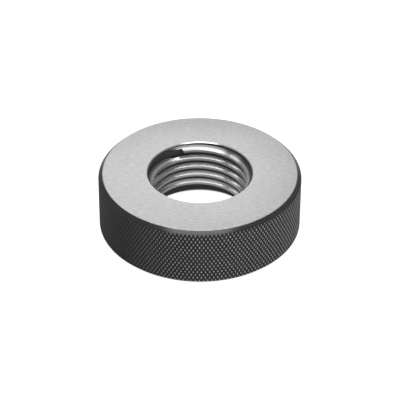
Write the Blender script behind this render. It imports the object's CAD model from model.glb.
"""Thread ring gauge: ground faces, blackened diamond-knurled rim, lapped thread with blunt starts.

The whole gauge is one piece of steel, so one piece replaces the solid. Lengths are metres.
"""

import logging
from collections.abc import Callable, Iterator, Sequence
from contextlib import contextmanager
from dataclasses import dataclass, field
from enum import Enum
from math import ceil, cos, pi, radians, sin, sqrt, tan

import bmesh
import bpy
from mathutils import Matrix, Vector


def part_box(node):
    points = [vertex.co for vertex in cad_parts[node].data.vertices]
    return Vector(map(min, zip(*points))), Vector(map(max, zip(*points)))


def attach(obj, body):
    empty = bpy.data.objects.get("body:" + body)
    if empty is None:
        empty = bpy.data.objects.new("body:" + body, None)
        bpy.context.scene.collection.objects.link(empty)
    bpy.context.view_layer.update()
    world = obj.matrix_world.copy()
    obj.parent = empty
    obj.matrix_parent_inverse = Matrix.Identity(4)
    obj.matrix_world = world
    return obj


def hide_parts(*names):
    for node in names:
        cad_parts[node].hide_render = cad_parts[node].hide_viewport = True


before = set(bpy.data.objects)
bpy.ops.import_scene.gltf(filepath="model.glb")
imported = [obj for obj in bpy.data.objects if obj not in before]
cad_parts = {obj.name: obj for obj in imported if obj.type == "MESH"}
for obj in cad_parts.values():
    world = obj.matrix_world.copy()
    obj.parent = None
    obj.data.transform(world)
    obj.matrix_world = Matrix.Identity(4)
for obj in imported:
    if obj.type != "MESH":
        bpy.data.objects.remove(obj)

log = logging.getLogger("ring_gauge")

NODE = "ring_gauge"
MM = 0.001
FULL_TURN = 2 * pi
LEVEL_WITHIN = 1e-6  # two points this near in height lie level
WELD_WITHIN = 1e-7  # points of a tool this near are one

# How far a face's normal points up or down, from 0 to 1, and how near a face comes to it
BEVEL_SLOPE = sin(pi / 4)
LEVEL_SLOPE = 0.99
UPRIGHT_SLOPE = 0.1
RIM_BEVEL_WITHIN = 0.02
MOUTH_WITHIN = 0.1
FLANK_WITHIN = 0.03


class Surface(Enum):
    """The gauge's finishes, in the order of the piece's material slots."""

    GROUND_FACE = 0
    BLACK_BEVEL = 1
    BLACK_KNURL = 2
    LAPPED_THREAD = 3
    BLACK_MILLED = 4


class Cut(Enum):
    """What a boolean keeps of a workpiece and a tool."""

    TAKE_AWAY = "DIFFERENCE"
    KEEP_SHARED = "INTERSECT"


# ---------------------------------------------------------------------------------------------
# Mesh making
# ---------------------------------------------------------------------------------------------


def start_clean() -> None:
    """Leave edit mode and deselect every object."""
    if bpy.context.object and bpy.context.object.mode != "OBJECT":
        bpy.ops.object.mode_set(mode="OBJECT")
    bpy.ops.object.select_all(action="DESELECT")


def make_active(piece: bpy.types.Object) -> None:
    """Select one object alone and make it the active one."""
    start_clean()
    piece.select_set(True)
    bpy.context.view_layer.objects.active = piece


@contextmanager
def editing(piece: bpy.types.Object, select: str = "VERT") -> Iterator[None]:
    """Edit mode on one piece with nothing selected.

    Args:
        piece: The mesh object to edit.
        select: The select mode, VERT, EDGE or FACE.
    """
    make_active(piece)
    bpy.ops.object.mode_set(mode="EDIT")
    bpy.ops.mesh.select_mode(type=select)
    bpy.ops.mesh.select_all(action="DESELECT")
    yield
    bpy.ops.object.mode_set(mode="OBJECT")


def pick_vertices(piece: bpy.types.Object, wanted: Callable[[Vector], bool]) -> None:
    """Select the vertices at wanted places, in edit mode.

    Args:
        piece: The mesh object in edit mode.
        wanted: Says whether the vertex at a place is selected.
    """
    mesh = bmesh.from_edit_mesh(piece.data)
    for vertex in mesh.verts:
        vertex.select = wanted(vertex.co)
    mesh.select_flush_mode()
    bmesh.update_edit_mesh(piece.data)


def pick_edges(piece: bpy.types.Object, wanted: Callable[[Vector, Vector], bool]) -> None:
    """Select the edges whose two ends are wanted, in edit mode.

    Args:
        piece: The mesh object in edit mode.
        wanted: Says whether the edge between two places is selected.
    """
    mesh = bmesh.from_edit_mesh(piece.data)
    for edge in mesh.edges:
        edge.select = wanted(edge.verts[0].co, edge.verts[1].co)
    mesh.select_flush_mode()
    bmesh.update_edit_mesh(piece.data)


def settle(piece: bpy.types.Object) -> None:
    """Put a new primitive's place and turn into its mesh."""
    make_active(piece)
    bpy.ops.object.transform_apply(location=True, rotation=True, scale=True)


def cylinder(
    name: str,
    radius: float,
    length: float,
    middle: Vector,
    sides: int,
    turn: tuple[float, float, float] = (0.0, 0.0, 0.0),
) -> bpy.types.Object:
    """A closed cylinder.

    Args:
        name: The object's name.
        radius: Its radius.
        length: Its length.
        middle: Where its middle lies.
        sides: How many flats stand for the round.
        turn: Euler angles from upright.

    Returns:
        The cylinder, with its place in its mesh.
    """
    start_clean()
    bpy.ops.mesh.primitive_cylinder_add(
        vertices=sides, radius=radius, depth=length, location=middle, rotation=turn
    )
    piece = bpy.context.object
    piece.name = name
    settle(piece)
    return piece


def apply_modifiers(piece: bpy.types.Object) -> None:
    """Apply every modifier on a piece, in order."""
    make_active(piece)
    for modifier in list(piece.modifiers):
        bpy.ops.object.modifier_apply(modifier=modifier.name)


def cut(piece: bpy.types.Object, tool: bpy.types.Object, kind: Cut = Cut.TAKE_AWAY) -> None:
    """Cut a piece with a closed tool, which is used up.

    Args:
        piece: The workpiece.
        tool: The cutting solid.
        kind: What is kept.
    """
    boolean = piece.modifiers.new("cut", "BOOLEAN")
    boolean.operation = kind.value
    boolean.solver = "EXACT"
    boolean.object = tool
    apply_modifiers(piece)
    bpy.data.objects.remove(tool)


def helical_tool(
    name: str,
    corners: Sequence[tuple[float, float]],
    angle: float,
    pitch: float,
    turns: int,
    steps: int,
) -> bpy.types.Object:
    """Closed solid that a flat section sweeps along a right-hand thread.

    Args:
        name: The object's name.
        corners: The section's (radius, height) points, in order.
        angle: Where the sweep starts, counter-clockwise from +X, in radians.
        pitch: The rise for each turn.
        turns: How many whole turns it makes.
        steps: How many flats make a turn.

    Returns:
        The tool.
    """
    start_clean()
    bpy.ops.mesh.primitive_circle_add(vertices=len(corners), radius=pitch, fill_type="NOTHING")
    tool = bpy.context.object
    tool.name = name
    for vertex, (radius, height) in zip(tool.data.vertices, corners):
        vertex.co = (radius * cos(angle), radius * sin(angle), height)
    screw = tool.modifiers.new("thread", "SCREW")
    screw.axis = "Z"
    screw.angle = FULL_TURN
    screw.screw_offset = pitch
    screw.iterations = turns
    screw.steps = screw.render_steps = steps
    apply_modifiers(tool)
    with editing(tool):
        bpy.ops.mesh.select_all(action="SELECT")
        bpy.ops.mesh.remove_doubles(threshold=WELD_WITHIN)
        bpy.ops.mesh.fill_holes(sides=len(corners))
        bpy.ops.mesh.select_all(action="SELECT")
        bpy.ops.mesh.normals_make_consistent(inside=False)
    return tool


# ---------------------------------------------------------------------------------------------
# Shader making
# ---------------------------------------------------------------------------------------------


class Value:
    """A number in a node tree, on which Python's own operators add Math nodes."""

    def __init__(self, tree: "NodeTree", socket: bpy.types.NodeSocket) -> None:
        """Wrap a socket of a tree."""
        self.tree = tree
        self.socket = socket

    def _math(self, operation: str, *terms: "Value | float") -> "Value":
        """Add one Math node on these terms."""
        node = self.tree.node("ShaderNodeMath", {"operation": operation}, dict(enumerate(terms)))
        return Value(self.tree, node.outputs[0])

    def __add__(self, other: "Value | float") -> "Value":
        """Sum."""
        return self._math("ADD", self, other)

    def __sub__(self, other: "Value | float") -> "Value":
        """Difference."""
        return self._math("SUBTRACT", self, other)

    def __rsub__(self, other: float) -> "Value":
        """Difference from a plain number."""
        return self._math("SUBTRACT", other, self)

    def __mul__(self, other: "Value | float") -> "Value":
        """Product."""
        return self._math("MULTIPLY", self, other)

    def band(self, low: float, high: float) -> "Value":
        """0 below low, 1 above high, and smooth between."""
        settings = {"interpolation_type": "SMOOTHSTEP"}
        inputs = {"Value": self, "From Min": low, "From Max": high}
        node = self.tree.node("ShaderNodeMapRange", settings, inputs)
        return Value(self.tree, node.outputs[0])


class NodeTree:
    """A shader's node tree, to which every node is added in one way."""

    def __init__(self, tree: bpy.types.NodeTree) -> None:
        """Wrap a tree that Blender has made."""
        self.tree = tree

    def node(
        self, kind: str, settings: dict | None = None, inputs: dict | None = None
    ) -> bpy.types.Node:
        """Add a node.

        Args:
            kind: The node's type.
            settings: Its properties, set before its sockets.
            inputs: A value or a link for each socket, by name or place.

        Returns:
            The node.
        """
        made = self.tree.nodes.new(kind)
        for name, setting in (settings or {}).items():
            setattr(made, name, setting)
        for name, given in (inputs or {}).items():
            if isinstance(given, (Value, bpy.types.NodeSocket)):
                self.link(given, made.inputs[name])
            else:
                made.inputs[name].default_value = given
        return made

    def link(self, source: "Value | bpy.types.NodeSocket", target: bpy.types.NodeSocket) -> None:
        """Feed a socket from a value or from another node's socket."""
        output = source.socket if isinstance(source, Value) else source
        self.tree.links.new(output, target)


class Finish(NodeTree):
    """A node material on the Principled shader."""

    def __init__(self, name: str, metallic: float, specular: float = 0.5) -> None:
        """Start a material.

        Args:
            name: The material's name.
            metallic: 1 for bare metal, 0 for a skin of oxide or paint.
            specular: The shader's specular level.
        """
        self.material = bpy.data.materials.new(name)
        self.material.use_nodes = True
        super().__init__(self.material.node_tree)
        self.shader = self.tree.nodes["Principled BSDF"]
        self.shader.inputs["Metallic"].default_value = metallic
        self.shader.inputs["Specular IOR Level"].default_value = specular
        self.place = self.node("ShaderNodeTexCoord").outputs["Object"]

    def noise(
        self,
        scale: float,
        detail: float = 2.0,
        stretch: tuple[float, float, float] = (1, 1, 1),
    ) -> Value:
        """Smooth noise on the piece's own coordinates.

        Args:
            scale: Waves to the metre.
            detail: Octaves of finer noise.
            stretch: How much finer it is along each axis.

        Returns:
            The noise, near 0.5.
        """
        inputs = {"Vector": self.place, "Scale": stretch}
        stretched = self.node("ShaderNodeMapping", inputs=inputs)
        return self.noise_over(stretched.outputs[0], scale, detail)

    def noise_over(self, place: bpy.types.NodeSocket, scale: float, detail: float) -> Value:
        """Smooth noise, near 0.5, on the coordinates that a socket gives."""
        inputs = {"Vector": place, "Scale": scale, "Detail": detail}
        return Value(self, self.node("ShaderNodeTexNoise", inputs=inputs).outputs["Fac"])

    def radius(self) -> Value:
        """How far a point is from the gauge's axis."""
        inputs = {0: self.place, 1: (1, 1, 0)}
        flat = self.node("ShaderNodeVectorMath", {"operation": "MULTIPLY"}, inputs)
        inputs = {0: flat.outputs[0]}
        length = self.node("ShaderNodeVectorMath", {"operation": "LENGTH"}, inputs)
        return Value(self, length.outputs["Value"])

    def along(self, direction: tuple[float, float, float]) -> Value:
        """How far a point lies from the gauge's foot in a direction."""
        inputs = {0: self.place, 1: direction}
        dot = self.node("ShaderNodeVectorMath", {"operation": "DOT_PRODUCT"}, inputs)
        return Value(self, dot.outputs["Value"])

    def height(self) -> Value:
        """How far a point is above the gauge's foot."""
        return self.along((0, 0, 1))

    def rings(self, scale: float, detail: float = 2.0) -> Value:
        """Noise that runs round the axis, as the marks of a lathe or a lap do.

        Args:
            scale: Rings to the metre, along the axis or away from it.
            detail: Octaves of finer rings.

        Returns:
            The noise, near 0.5.
        """
        inputs = {"X": self.radius(), "Y": self.height()}
        section = self.node("ShaderNodeCombineXYZ", inputs=inputs)
        return self.noise_over(section.outputs[0], scale, detail)

    def metal(self, amount: Value) -> None:
        """Let bare metal show where the amount is 1 and the skin on it where it is 0."""
        self.link(amount, self.shader.inputs["Metallic"])

    def grey(self, mask: Value, dark: float, light: float) -> None:
        """Colour the surface a dark grey where the mask is 0 and a light one where it is 1."""
        inputs = {"Factor": mask, 6: (dark, dark, dark, 1), 7: (light, light, light, 1)}
        mix = self.node("ShaderNodeMix", {"data_type": "RGBA"}, inputs)
        self.link(mix.outputs[2], self.shader.inputs["Base Color"])

    def roughness(self, amount: Value) -> None:
        """Set how dull the surface is."""
        self.link(amount, self.shader.inputs["Roughness"])

    def bump(self, height: Value, depth: float) -> None:
        """Raise the surface by a height of 0 to 1, depth metres deep."""
        inputs = {"Height": height, "Distance": depth, "Strength": 1.0}
        bump = self.node("ShaderNodeBump", inputs=inputs)
        self.link(bump.outputs[0], self.shader.inputs["Normal"])


# ---------------------------------------------------------------------------------------------
# The gauge
# ---------------------------------------------------------------------------------------------


@dataclass(frozen=True)
class Thread:
    """A right-hand ISO metric thread and the blunt start milled at each of its ends."""

    diameter: float = 36.0 * MM
    pitch: float = 3.5 * MM
    flank_angle: float = radians(60)
    start_angle: float = radians(117)
    start_depth: float = 2.1 * MM
    start_relief: float = 0.3 * MM
    plunge_depth: float = 1.0 * MM
    ramp_depth: float = 0.8 * MM
    ramp_angle: float = radians(16)
    upper_mouth: float = 0.3 * MM
    lower_mouth: float = 1.4 * MM
    lower_advance: float = radians(113)
    tool_overrun: float = 0.3 * MM
    run_out: float = 2.9 * MM

    @property
    def root_radius(self) -> float:
        """Radius of the groove's floor."""
        return self.diameter / 2

    @property
    def crest_radius(self) -> float:
        """Radius of the ridges' flat tops."""
        return self.root_radius - 5 / 8 * self.pitch * sqrt(3) / 2

    @property
    def root_flat(self) -> float:
        """Width of the groove's floor."""
        return self.pitch / 8

    @property
    def tool_radius(self) -> float:
        """Radius at which the cutting tools begin, inside the crest."""
        return self.crest_radius - self.tool_overrun

    @property
    def milled_radius(self) -> float:
        """Radius of the floor that the blunt start's cutter leaves."""
        return self.root_radius + self.start_relief

    @property
    def plunge_radius(self) -> float:
        """Radius of the floor where that cutter goes in."""
        return self.crest_radius + self.plunge_depth

    @property
    def milled_half_width(self) -> float:
        """Half the width of the band milled along the first ridge."""
        return self.pitch / 2 - self.root_flat / 4


@dataclass(frozen=True)
class Knurl:
    """Raised 30 degree diamonds rolled into the rim, each with a flat tip."""

    diamonds: int = 160
    rows: int = 20
    depth: float = 0.36 * MM
    flat_percent: float = 45.0
    half_angle: float = radians(30)

    def row_height(self, radius: float) -> float:
        """Half the height of a diamond on a rim of this radius."""
        return pi * radius / self.diamonds / tan(self.half_angle)


@dataclass
class RingGauge:
    """The whole gauge, turned, threaded and knurled from one piece of steel."""

    outer_radius: float
    height: float
    rim_chamfer: float = 1.5 * MM
    edge_break: float = 0.14 * MM
    thread: Thread = field(default_factory=Thread)
    knurl: Knurl = field(default_factory=Knurl)
    bore_steps: int = 192
    rim_steps: int = 364
    rim_turn: float = radians(0.17)  # keeps the bevel's flats off the diamonds' edges
    smooth_within: float = radians(24)
    tolerance: float = 0.02 * MM

    def blank(self) -> bpy.types.Object:
        """A disc with bevelled edges, wider than the knurl so that only its bevels cut it."""
        spare = self.rim_chamfer
        disc = cylinder(
            "bevelled_disc",
            self.outer_radius + spare,
            self.height,
            Vector((0, 0, self.height / 2)),
            self.rim_steps,
            (0, 0, self.rim_turn),
        )
        with editing(disc, "EDGE"):
            pick_edges(disc, lambda a, b: abs(a.z - b.z) < self.edge_break)
            bpy.ops.mesh.bevel(offset=self.rim_chamfer + spare, segments=1, affect="EDGES")
        face_rim = self.outer_radius - self.rim_chamfer
        with editing(disc, "EDGE"):
            pick_edges(
                disc,
                lambda a, b: abs(a.z - b.z) < LEVEL_WITHIN
                and abs(a.xy.length - face_rim) < self.edge_break
                and abs(b.xy.length - face_rim) < self.edge_break,
            )
            bpy.ops.mesh.bevel(offset=self.edge_break, segments=2, affect="EDGES")
        return disc

    def knurled_bar(self) -> bpy.types.Object:
        """A bar with raised, flat-topped diamonds all round, longer than the gauge."""
        row = self.knurl.row_height(self.outer_radius)
        floor_radius = self.outer_radius - self.knurl.depth
        bar = cylinder(
            "knurled_bar",
            floor_radius,
            row * self.knurl.rows,
            Vector((0, 0, self.height / 2)),
            2 * self.knurl.diamonds,
        )
        with editing(bar, "EDGE"):
            pick_edges(bar, lambda a, b: abs(a.z - b.z) > row)
            bpy.ops.mesh.subdivide_edgering(number_cuts=self.knurl.rows - 1)
        column = pi / self.knurl.diamonds
        bottom = self.height / 2 - row * self.knurl.rows / 2

        def place(point: Vector) -> int:
            """Column and row of a lattice point, added together."""
            turn = Vector((0, 1)).angle_signed(point.xy)
            return round(turn / column) + round((point.z - bottom) / row)

        with editing(bar):
            pick_vertices(bar, lambda point: place(point) % 2 == 1)
            bpy.ops.mesh.vert_connect()
            pick_vertices(bar, lambda point: place(point) % 2 == 0)
            bpy.ops.mesh.bevel(
                offset_type="PERCENT", offset_pct=self.knurl.flat_percent, affect="VERTICES"
            )
            scale = self.outer_radius / floor_radius
            bpy.ops.transform.resize(value=(scale, scale, 1), center_override=(0, 0, 0))
        return bar

    def bore_tool(self) -> bpy.types.Object:
        """The bore at the thread's crests, with a bevelled rim at both faces."""
        thread = self.thread
        length = self.height - thread.upper_mouth - thread.lower_mouth
        middle = thread.lower_mouth + length / 2
        tool = cylinder(
            "bore_tool", thread.crest_radius, length, Vector((0, 0, middle)), self.bore_steps
        )
        widen = thread.milled_radius / thread.crest_radius
        for side, mouth in ((1, thread.upper_mouth), (-1, thread.lower_mouth)):
            reach = mouth + thread.run_out
            flare = (thread.milled_radius + reach) / thread.milled_radius
            with editing(tool):
                pick_vertices(tool, lambda point: (point.z - middle) * side > 0)
                bpy.ops.mesh.extrude_region_move()
                bpy.ops.transform.resize(value=(widen, widen, 1), center_override=(0, 0, 0))
                bpy.ops.mesh.extrude_region_move(
                    TRANSFORM_OT_translate={"value": (0, 0, side * reach)}
                )
                bpy.ops.transform.resize(value=(flare, flare, 1), center_override=(0, 0, 0))
        return tool

    def groove_tool(self) -> bpy.types.Object:
        """The helical groove, running out past both faces."""
        thread = self.thread
        start_z = self.height - thread.start_depth - thread.pitch / 2
        turns_below = (start_z + thread.run_out) // thread.pitch
        middle = start_z - turns_below * thread.pitch
        half_floor = thread.root_flat / 2
        cut_depth = thread.root_radius - thread.tool_radius
        half_mouth = half_floor + cut_depth * tan(thread.flank_angle / 2)
        return helical_tool(
            "groove_tool",
            (
                (thread.tool_radius, middle - half_mouth),
                (thread.root_radius, middle - half_floor),
                (thread.root_radius, middle + half_floor),
                (thread.tool_radius, middle + half_mouth),
            ),
            thread.start_angle,
            thread.pitch,
            ceil((self.height + thread.run_out - middle) / thread.pitch),
            self.bore_steps,
        )

    def start_tools(self) -> tuple[bpy.types.Object, bpy.types.Object]:
        """The band milled along the first ridge at the top, and the round end of its cutter."""
        thread = self.thread
        start_z = self.height - thread.start_depth
        half = thread.milled_half_width
        band = helical_tool(
            "band_tool",
            (
                (thread.tool_radius, start_z - half),
                (thread.milled_radius, start_z - half),
                (thread.milled_radius, start_z + half),
                (thread.tool_radius, start_z + half),
            ),
            thread.start_angle,
            thread.pitch,
            ceil((thread.start_depth + thread.run_out) / thread.pitch),
            self.bore_steps,
        )
        self.cut_ramp(band, start_z)
        length = thread.plunge_radius - thread.tool_radius
        reach = (thread.plunge_radius + thread.tool_radius) / 2
        tip = cylinder(
            "tip_tool",
            half,
            length,
            Vector((reach * cos(thread.start_angle), reach * sin(thread.start_angle), start_z)),
            self.bore_steps // 4,
            (0, pi / 2, thread.start_angle),
        )
        return band, tip

    def cut_ramp(self, band: bpy.types.Object, start_z: float) -> None:
        """Let the band's floor go down a ramp where it starts.

        Args:
            band: The helical tool that mills the band.
            start_z: The height of its middle where it starts.
        """
        thread = self.thread
        step = FULL_TURN / self.bore_steps
        shallow = thread.crest_radius + thread.ramp_depth
        slope = (thread.milled_radius - shallow) / thread.ramp_angle
        floor_side = (thread.tool_radius + thread.milled_radius) / 2
        for place in range(ceil(thread.ramp_angle / step)):
            turn = place * step
            angle = thread.start_angle + turn
            outward = Vector((cos(angle), sin(angle)))
            low = start_z + thread.pitch * turn / FULL_TURN - thread.pitch / 2
            scale = (shallow + slope * turn) / thread.milled_radius
            with editing(band):
                pick_vertices(
                    band,
                    lambda point: point.xy.length > floor_side
                    and abs(outward.angle_signed(point.xy)) < step / 2
                    and low < point.z < low + thread.pitch,
                )
                bpy.ops.transform.resize(value=(scale, scale, 1), center_override=(0, 0, 0))

    def turned_over(self, tool: bpy.types.Object) -> bpy.types.Object:
        """A copy of a tool for the bottom.

        It is turned over about the cross axis on which the thread falls on itself, and then
        screwed up the thread.
        """
        thread = self.thread
        rise = self.height / 2 - thread.start_depth
        angle = thread.start_angle - rise / thread.pitch * FULL_TURN
        over = Matrix.Rotation(pi, 4, Vector((cos(angle), sin(angle), 0)))
        middle = Matrix.Translation((0, 0, self.height / 2))
        advance = Matrix.Rotation(thread.lower_advance, 4, "Z")
        climb = Matrix.Translation((0, 0, thread.pitch * thread.lower_advance / FULL_TURN))
        copy = tool.copy()
        copy.data = tool.data.copy()
        bpy.context.collection.objects.link(copy)
        copy.data.transform(climb @ advance @ middle @ over @ middle.inverted())
        return copy

    def build(self) -> bpy.types.Object:
        """Make the gauge's mesh.

        Returns:
            The finished piece, undressed.
        """
        ring = self.knurled_bar()
        cut(ring, self.blank(), Cut.KEEP_SHARED)
        cut(ring, self.bore_tool())
        cut(ring, self.groove_tool())
        for tool in self.start_tools():
            other = self.turned_over(tool)
            cut(ring, tool)
            cut(ring, other)
        ring.name = ring.data.name = "gauge_body"
        make_active(ring)
        bpy.ops.object.shade_smooth_by_angle(angle=self.smooth_within)
        self.round_tips(ring)
        return ring

    def round_tips(self, ring: bpy.types.Object) -> None:
        """Let the shading run smoothly over the rims of the knurl's flat tips."""
        reach = self.height / 2 - self.rim_chamfer - self.tolerance

        def on_a_tip(point: Vector) -> bool:
            """Whether a point lies on a tip's flat, clear of the bevels."""
            outside = point.xy.length > self.outer_radius - self.tolerance
            return outside and abs(point.z - self.height / 2) < reach

        with editing(ring, "EDGE"):
            pick_edges(ring, lambda a, b: on_a_tip(a) and on_a_tip(b))
            bpy.ops.mesh.mark_sharp(clear=True)

    def finishes(self) -> list[bpy.types.Material]:
        """The materials, in the order of Surface."""
        return [
            ground_face(),
            black_bevel(),
            black_knurl(self.outer_radius, self.knurl.depth),
            lapped_thread(self.thread, self.height),
            black_milled(),
        ]

    def surface_at(self, middle: Vector, normal: Vector) -> Surface:
        """Which finish a face has.

        Args:
            middle: The face's centre.
            normal: Its outward normal.

        Returns:
            The finish.
        """
        radius = middle.xy.length
        steep = abs(normal.z)
        widest_hole = self.thread.milled_radius + self.thread.lower_mouth
        if radius < widest_hole and self.in_the_hole(middle, steep):
            return self.surface_in_hole(radius, steep)
        if radius < self.outer_radius - self.rim_chamfer + self.edge_break:
            return Surface.GROUND_FACE
        outward = Vector((middle.x, middle.y, 0)).normalized().dot(normal)
        if max(abs(outward - BEVEL_SLOPE), abs(steep - BEVEL_SLOPE)) < RIM_BEVEL_WITHIN:
            return Surface.BLACK_BEVEL
        return Surface.BLACK_KNURL

    def in_the_hole(self, middle: Vector, steep: float) -> bool:
        """Whether a face is a wall or a ledge of the hole, and no part of the two ground faces."""
        on_a_face = min(middle.z, self.height - middle.z) < self.thread.upper_mouth / 4
        return not (on_a_face and steep > LEVEL_SLOPE)

    def surface_in_hole(self, radius: float, steep: float) -> Surface:
        """Which finish a face of the hole has.

        Args:
            radius: How far its centre is from the axis.
            steep: How much its normal points up or down.

        Returns:
            The finish.
        """
        thread = self.thread
        crest = radius < thread.crest_radius + self.tolerance and steep < UPRIGHT_SLOPE
        flank = abs(steep - cos(thread.flank_angle / 2)) < FLANK_WITHIN
        past_floor = radius > thread.milled_radius - self.tolerance
        mouth = past_floor and abs(steep - BEVEL_SLOPE) < MOUTH_WITHIN
        return Surface.LAPPED_THREAD if crest or flank or mouth else Surface.BLACK_MILLED

    def dress(self, ring: bpy.types.Object) -> None:
        """Give each face of the piece its finish."""
        ring.data.materials.clear()
        for material in self.finishes():
            ring.data.materials.append(material)
        for face in ring.data.polygons:
            face.material_index = self.surface_at(face.center, face.normal).value


def ground_face() -> bpy.types.Material:
    """Hardened steel, surface ground: bright, with the fine streaks of the wheel."""
    finish = Finish("ground_face", metallic=1.0)
    streaks = finish.noise(scale=1500, detail=3.0, stretch=(0.35, 1, 1))
    grain = finish.noise(scale=6000)
    cloud = finish.noise(scale=120)
    finish.grey(streaks * 0.7 + grain * 0.2 + cloud * 0.1, dark=0.34, light=0.78)
    finish.roughness(grain * 0.12 + 0.34)
    finish.bump(streaks + grain * 0.3, depth=0.02 * MM)
    return finish.material


def black_bevel() -> bpy.types.Material:
    """The turned bevel under a black oxide skin, with the lathe's marks."""
    finish = Finish("black_bevel", metallic=0.0, specular=0.85)
    marks = finish.rings(scale=7000)
    stain = finish.noise(scale=500, detail=3.0)
    finish.grey((marks + stain) * 0.5, dark=0.012, light=0.035)
    finish.roughness(stain * 0.1 + 0.16)
    finish.bump(marks, depth=0.008 * MM)
    return finish.material


def black_knurl(outer_radius: float, depth: float) -> bpy.types.Material:
    """The knurled rim: black oxide in its grooves, rubbed to bare steel on its tips.

    Args:
        outer_radius: The radius of the tips.
        depth: How deep the grooves lie below them.
    """
    finish = Finish("black_knurl", metallic=0.0)
    wear = finish.noise(scale=2600)
    # One side of the rim has been handled more than the other
    handled_side = (0.6, -0.8, 0.0)
    handled = finish.along(handled_side).band(0.05 * outer_radius, 0.9 * outer_radius)
    bright = (wear * 0.5 + 0.5) * (handled * 0.9 + 0.1)
    worn_radius = finish.radius() + wear * (0.3 * depth)
    tip = worn_radius.band(outer_radius, outer_radius + 0.2 * depth)
    finish.metal(tip * 0.9)
    finish.grey(tip * bright, dark=0.018, light=0.62)
    finish.roughness(wear * 0.1 + 0.46)
    finish.bump(wear, depth=0.008 * MM)
    return finish.material


def lapped_thread(thread: Thread, height: float) -> bpy.types.Material:
    """The lapped thread: bright steel on the outer flanks, dull crests, and oxide near the root.

    Args:
        thread: The thread's sizes.
        height: The height of the gauge's top face.
    """
    finish = Finish("lapped_thread", metallic=1.0)
    marks = finish.rings(scale=13000, detail=1.0)
    stain = finish.noise(scale=900)
    crest = thread.crest_radius
    depth = thread.root_radius - crest

    # The bevelled mouth is bare all over, and the first flank under it is a little stained
    mouth_edge = thread.root_radius + 0.2 * MM
    inside = 1 - finish.radius().band(mouth_edge, mouth_edge + 0.08 * MM)
    entry = finish.height().band(height - 2.2 * MM, height - 1.6 * MM) * inside

    # Oxide is left near the root, and the crests are dull
    radius = finish.radius() + (stain - 0.5) * (0.15 * MM)
    skin = radius.band(crest + 0.48 * depth, crest + 0.74 * depth) * inside
    flank = radius.band(crest + 0.1 * depth, crest + 0.25 * depth)
    bare = (1 - skin * 0.7) * (1 - entry * 0.5) * (flank * 0.4 + 0.6)
    finish.grey(bare * (marks * 0.1 + 0.9), dark=0.04, light=0.95)
    finish.roughness(stain * 0.06 + 0.14)
    finish.bump(marks, depth=0.012 * MM)
    return finish.material


def black_milled() -> bpy.types.Material:
    """The milled floors and the groove's root, where the black oxide skin is left."""
    finish = Finish("black_milled", metallic=0.0)
    marks = finish.rings(scale=2500)
    stain = finish.noise(scale=700, detail=3.0)
    finish.grey((marks + stain) * 0.5, dark=0.02, light=0.08)
    finish.roughness(stain * 0.15 + 0.3)
    finish.bump(marks, depth=0.01 * MM)
    return finish.material


# ---------------------------------------------------------------------------------------------
# The studio
# ---------------------------------------------------------------------------------------------


@dataclass(frozen=True)
class SoftBox:
    """A rectangular lamp that shines at the gauge from a direction.

    Azimuth 0 is over the camera's head and grows to its right, and elevation is above the floor.
    """

    name: str
    azimuth: float
    elevation: float
    distance: float
    width: float
    height: float
    radiance: float

    def hang(self, target: Vector) -> None:
        """Add the lamp, facing a target."""
        azimuth, elevation = radians(self.azimuth), radians(self.elevation)
        flat = Vector((sin(azimuth), -cos(azimuth), 0)) * cos(elevation)
        toward = flat + Vector((0, 0, sin(elevation)))
        side = Vector((cos(azimuth), sin(azimuth), 0))
        lamp = bpy.data.lights.new(self.name, "AREA")
        lamp.shape = "RECTANGLE"
        lamp.size = self.width
        lamp.size_y = self.height
        lamp.energy = self.radiance * self.width * self.height * pi
        holder = bpy.data.objects.new(self.name, lamp)
        bpy.context.collection.objects.link(holder)
        turn = Matrix((side, toward.cross(side), toward)).transposed().to_4x4()
        holder.matrix_world = Matrix.Translation(target + toward * self.distance) @ turn


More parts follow.
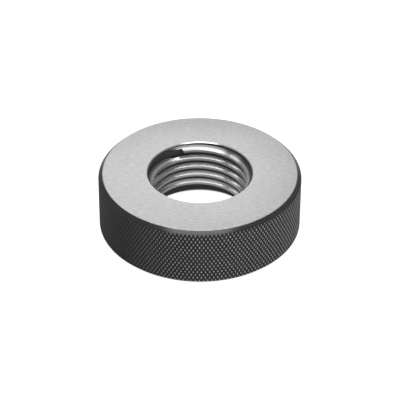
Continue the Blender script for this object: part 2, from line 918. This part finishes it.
@dataclass(frozen=True)
class Studio:
    """A white sweep, soft lamps and a pale room."""

    sweep_half_width: float = 4.0
    # Azimuth, elevation, distance, width, height and radiance of each lamp
    boxes: tuple[SoftBox, ...] = (
        SoftBox("top_box", 0, 80, 0.61, 0.54, 0.40, 1.9),
        SoftBox("front_box", 0, 57, 1.0, 0.9, 0.35, 1.6),
        SoftBox("low_front_box", 0, 20, 1.0, 0.7, 0.3, 2.0),
        SoftBox("back_card", 186, 39, 1.2, 0.85, 0.8, 1.12),
        SoftBox("right_strip", 95, 66, 0.7, 0.4, 0.035, 4.0),
        SoftBox("left_strip", 246, 53, 1.0, 0.16, 0.3, 1.0),
        SoftBox("right_box", 80, 14, 0.9, 0.5, 0.3, 2.4),
    )
    world_level: float = 0.26
    glow_in_view: float = 0.88
    glow_in_gloss: float = 0.10
    paper_grey: float = 0.60

    def light(self, target: Vector) -> None:
        """Hang the lamps and set the world."""
        for box in self.boxes:
            box.hang(target)
        world = bpy.data.worlds.new("room")
        bpy.context.scene.world = world
        world.use_nodes = True
        room = NodeTree(world.node_tree)
        background = room.tree.nodes["Background"]
        background.inputs["Color"].default_value = (1, 1, 1, 1)
        ray = room.node("ShaderNodeLightPath")
        inputs = {"Value": ray.outputs["Is Camera Ray"], "To Min": self.world_level}
        level = room.node("ShaderNodeMapRange", inputs=inputs)
        room.link(level.outputs[0], background.inputs["Strength"])

    def floor(self) -> None:
        """Lay the sweep under the gauge, which is white in view and dim in reflections."""
        start_clean()
        bpy.ops.mesh.primitive_plane_add(size=2 * self.sweep_half_width, location=(0, 0, 0))
        sweep = bpy.context.object
        sweep.name = "white_sweep"
        settle(sweep)
        paper = Finish("white_paper", metallic=0.0, specular=0.0)
        base = (self.paper_grey, self.paper_grey, self.paper_grey, 1)
        paper.shader.inputs["Base Color"].default_value = base
        paper.shader.inputs["Roughness"].default_value = 1.0
        ray = paper.node("ShaderNodeLightPath")
        in_view = Value(paper, ray.outputs["Is Camera Ray"]) * self.glow_in_view
        in_gloss = Value(paper, ray.outputs["Is Glossy Ray"]) * self.glow_in_gloss
        paper.shader.inputs["Emission Color"].default_value = (1, 1, 1, 1)
        paper.link(in_view + in_gloss, paper.shader.inputs["Emission Strength"])
        sweep.data.materials.append(paper.material)


@dataclass(frozen=True)
class View:
    """The camera, in outer radii of the gauge and pixels of a 400 pixel frame."""

    elevation: float = radians(35.89)
    roll: float = radians(0.28)
    distance: float = 18.5
    focal_pixels: float = 1864.0
    shift_pixels: tuple[float, float] = (0.2, -2.78)
    frame_pixels: float = 400.0
    near_clip: float = 0.01

    def shoot(self, radius: float, target: Vector) -> None:
        """Add the camera.

        Args:
            radius: The gauge's outer radius.
            target: The point that it looks at.
        """
        camera = bpy.data.cameras.new("camera")
        holder = bpy.data.objects.new("camera", camera)
        bpy.context.collection.objects.link(holder)
        back = Vector((0, -cos(self.elevation), sin(self.elevation)))
        side = Vector((1, 0, 0))
        above = back.cross(side)
        right = side * cos(self.roll) + above * sin(self.roll)
        up = above * cos(self.roll) - side * sin(self.roll)
        place = target + back * self.distance * radius
        turn = Matrix((right, up, back)).transposed().to_4x4()
        holder.matrix_world = Matrix.Translation(place) @ turn
        camera.lens = self.focal_pixels * camera.sensor_width / self.frame_pixels
        camera.shift_x = self.shift_pixels[0] / self.frame_pixels
        camera.shift_y = self.shift_pixels[1] / self.frame_pixels
        camera.clip_start = self.near_clip
        bpy.context.scene.camera = holder


def main() -> None:
    """Build the gauge over its solid, dress it, and set the studio."""
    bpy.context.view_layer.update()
    low, high = (Vector(corner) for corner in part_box(NODE))
    gauge = RingGauge(outer_radius=(high.x - low.x) / 2, height=high.z - low.z)
    body = gauge.build()
    gauge.dress(body)
    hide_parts(NODE)
    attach(body, "root")
    log.info("%s: %d faces", body.name, len(body.data.polygons))

    target = (low + high) / 2
    studio = Studio()
    studio.floor()
    studio.light(target)
    View().shoot(gauge.outer_radius, target)
    bpy.context.scene.view_settings.view_transform = "Standard"


if __name__ == "__main__":
    logging.basicConfig(level=logging.INFO, format="%(message)s")
    main()
